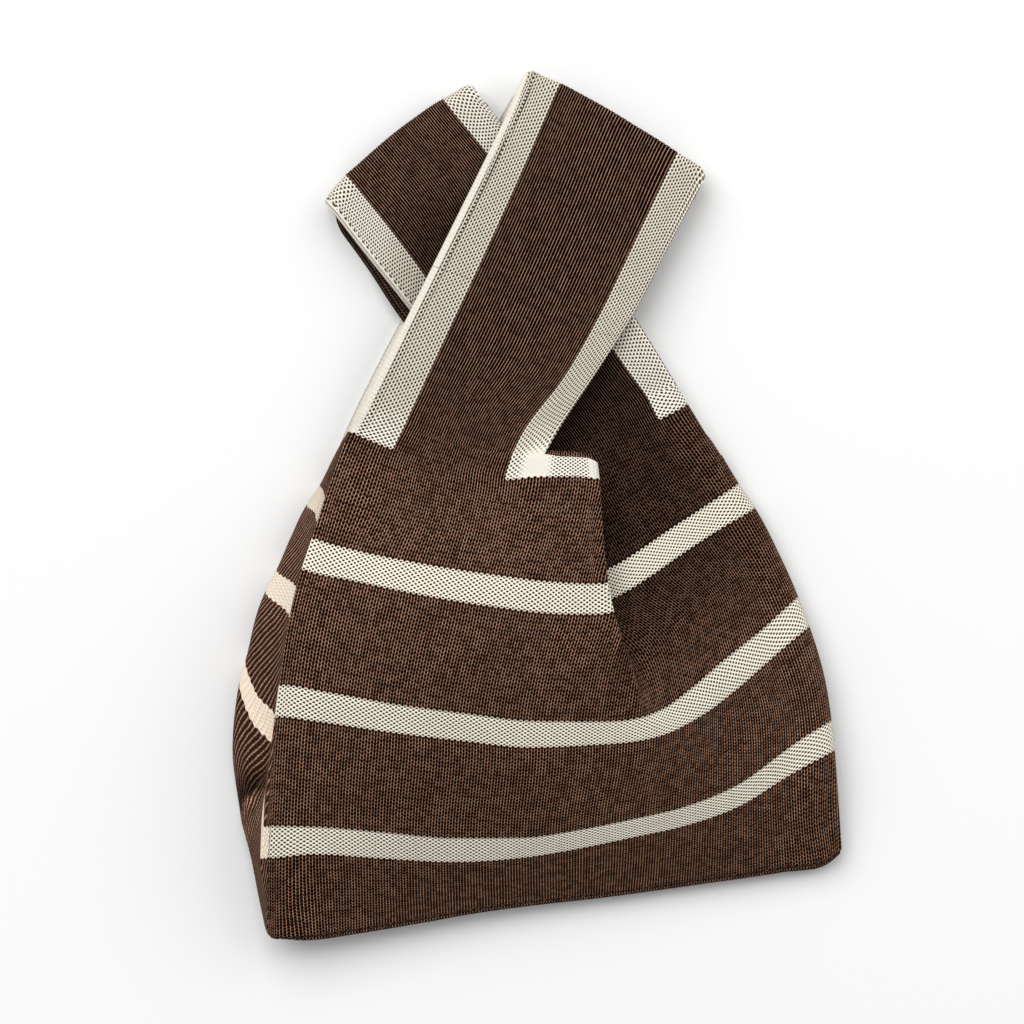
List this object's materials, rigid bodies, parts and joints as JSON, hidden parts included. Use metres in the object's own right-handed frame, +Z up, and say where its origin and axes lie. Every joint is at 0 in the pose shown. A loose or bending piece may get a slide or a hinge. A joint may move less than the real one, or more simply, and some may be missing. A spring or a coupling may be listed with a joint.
{
  "type": "knitted handbag",
  "caption": "Knitted knot bag laid on its back, one wide handle drawn through the loop of the other, with a pleated striped body and a boxed base.",
  "frame": {"origin": "centre of the bounding box in plan, on the surface that the bag lies on", "axes": "+Y from the base of the bag to the tips of the handles, +Z up from the table through the front of the bag, +X to the right of the front"},
  "size_m": [0.2564, 0.3648, 0.0621],
  "materials": {
    "brown_knit": "matte plain knit, dark brown with cream stripes",
    "cream_knit": "matte plain knit, warm cream",
    "facing_knit": "matte plain knit, dark brown, inner ply",
    "linking_yarn": "matte linked seam, dark brown yarn"
  },
  "bodies": {
    "root": {"back_base_seam": "linking_yarn", "back_neck_facing": "facing_knit", "back_neck_hem": "cream_knit", "back_panel": "brown_knit", "base_panel": "brown_knit", "front_base_seam": "linking_yarn", "front_neck_facing": "facing_knit", "front_neck_hem": "cream_knit", "front_panel": "brown_knit", "left_back_shoulder": "brown_knit", "left_front_shoulder": "brown_knit", "left_side_gusset": "brown_knit", "left_side_seam": "linking_yarn", "right_back_shoulder": "brown_knit", "right_front_shoulder": "brown_knit", "right_side_gusset": "brown_knit", "right_side_seam": "linking_yarn"},
    "left_handle": {"left_handle_back_facing": "facing_knit", "left_handle_back_inner_welt": "cream_knit", "left_handle_back_outer_welt": "cream_knit", "left_handle_back_ply": "brown_knit", "left_handle_front_facing": "facing_knit", "left_handle_front_inner_welt": "cream_knit", "left_handle_front_outer_welt": "cream_knit", "left_handle_front_ply": "brown_knit"},
    "right_handle": {"right_handle_back_facing": "facing_knit", "right_handle_back_inner_welt": "cream_knit", "right_handle_back_outer_welt": "cream_knit", "right_handle_back_ply": "brown_knit", "right_handle_front_facing": "facing_knit", "right_handle_front_inner_welt": "cream_knit", "right_handle_front_outer_welt": "cream_knit", "right_handle_front_ply": "brown_knit"},
    "left_tip": {"left_tip_back_facing": "facing_knit", "left_tip_back_ply": "brown_knit", "left_tip_bight_facing": "facing_knit", "left_tip_bight_ply": "brown_knit", "left_tip_front_facing": "facing_knit", "left_tip_front_ply": "brown_knit", "left_tip_inner_welt": "cream_knit", "left_tip_outer_welt": "cream_knit"},
    "right_tip": {"right_tip_back_facing": "facing_knit", "right_tip_back_ply": "brown_knit", "right_tip_bight_facing": "facing_knit", "right_tip_bight_ply": "brown_knit", "right_tip_front_facing": "facing_knit", "right_tip_front_ply": "brown_knit", "right_tip_inner_welt": "cream_knit", "right_tip_outer_welt": "cream_knit"}
  },
  "joints": [
    {"name": "left_handle_lift", "type": "hinge", "parent": "root", "child": "left_handle", "pos_m": [0, 0.03242, 0.0283], "axis": [1, 0, 0], "range_deg": [0, 120]},
    {"name": "right_handle_lift", "type": "hinge", "parent": "root", "child": "right_handle", "pos_m": [0, 0.03242, 0.0283], "axis": [1, 0, 0], "range_deg": [0, 120]},
    {"name": "left_tip_fold", "type": "hinge", "parent": "left_handle", "child": "left_tip", "pos_m": [0.01413, 0.12229, 0.0202], "axis": [0.5844, -0.8115, 0], "range_deg": [0, 110]},
    {"name": "right_tip_fold", "type": "hinge", "parent": "right_handle", "child": "right_tip", "pos_m": [-0.03689, 0.12535, 0.0142], "axis": [0.4737, 0.8807, 0], "range_deg": [0, 90]}
  ],
  "couplings": [
    {"joint": "right_handle_lift", "follows": "left_handle_lift", "ratio": 1}
  ]
}
